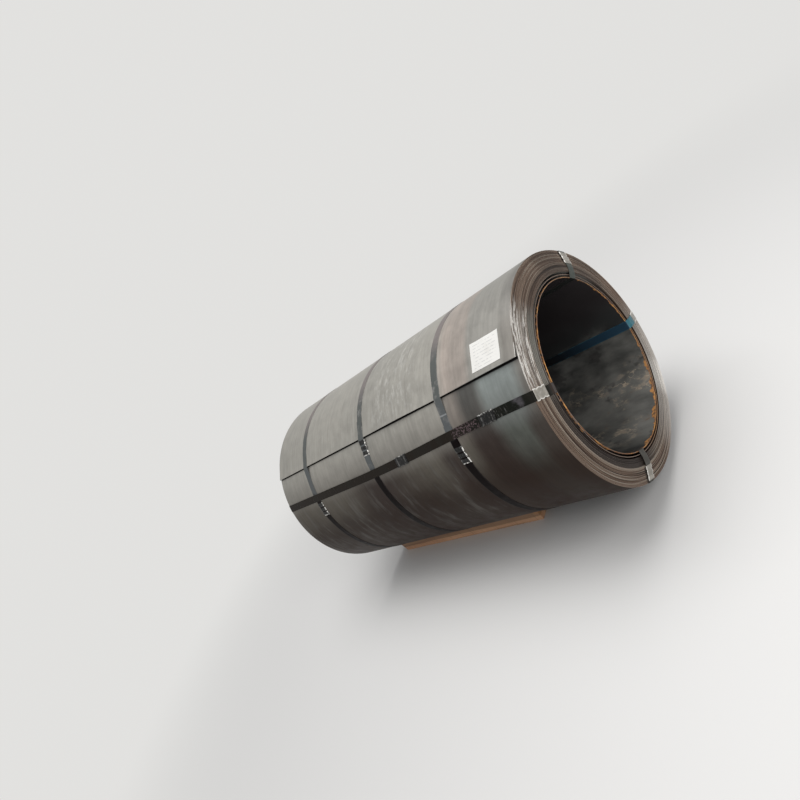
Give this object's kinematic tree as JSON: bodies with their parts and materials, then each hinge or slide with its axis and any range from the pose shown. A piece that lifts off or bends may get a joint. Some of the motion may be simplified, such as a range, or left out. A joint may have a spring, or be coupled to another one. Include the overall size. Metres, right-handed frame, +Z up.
{
  "type": "steel coil",
  "caption": "Hot-rolled steel strip wound into a coil, lying on timbers, bound by flat steel hoop and eye straps with crimped seals, with a blank paper label.",
  "frame": {"origin": "on the floor, at the middle of the part's footprint", "axes": "+Z up, Y along the coil's axis with the labelled end at -Y, +X to the right when facing the labelled end"},
  "size_m": [0.825, 1.5151, 0.8696],
  "materials": {
    "coil_steel": "hot-rolled mill scale, satin, with faint bands and scuffs; sheared edges browned by light rust",
    "strap_steel": "blued and waxed flat strapping, semi-gloss",
    "seal_zinc": "zinc-coated, crimped",
    "label_paper": "matt white paper, no print",
    "timber_wood": "rough sawn reddish hardwood"
  },
  "bodies": {
    "root": {"coil": "coil_steel", "eye_seal_bottom": "seal_zinc", "eye_seal_far": "seal_zinc", "eye_seal_near": "seal_zinc", "eye_seal_top": "seal_zinc", "eye_strap_bottom": "strap_steel", "eye_strap_far": "strap_steel", "eye_strap_near": "strap_steel", "eye_strap_top": "strap_steel", "hoop_seal_1": "seal_zinc", "hoop_seal_2": "seal_zinc", "hoop_seal_3": "seal_zinc", "hoop_strap_1": "strap_steel", "hoop_strap_2": "strap_steel", "hoop_strap_3": "strap_steel", "label": "label_paper", "strap_splice_1": "seal_zinc", "strap_splice_2": "seal_zinc", "timber_far": "timber_wood", "timber_near": "timber_wood"}
  },
  "joints": []
}
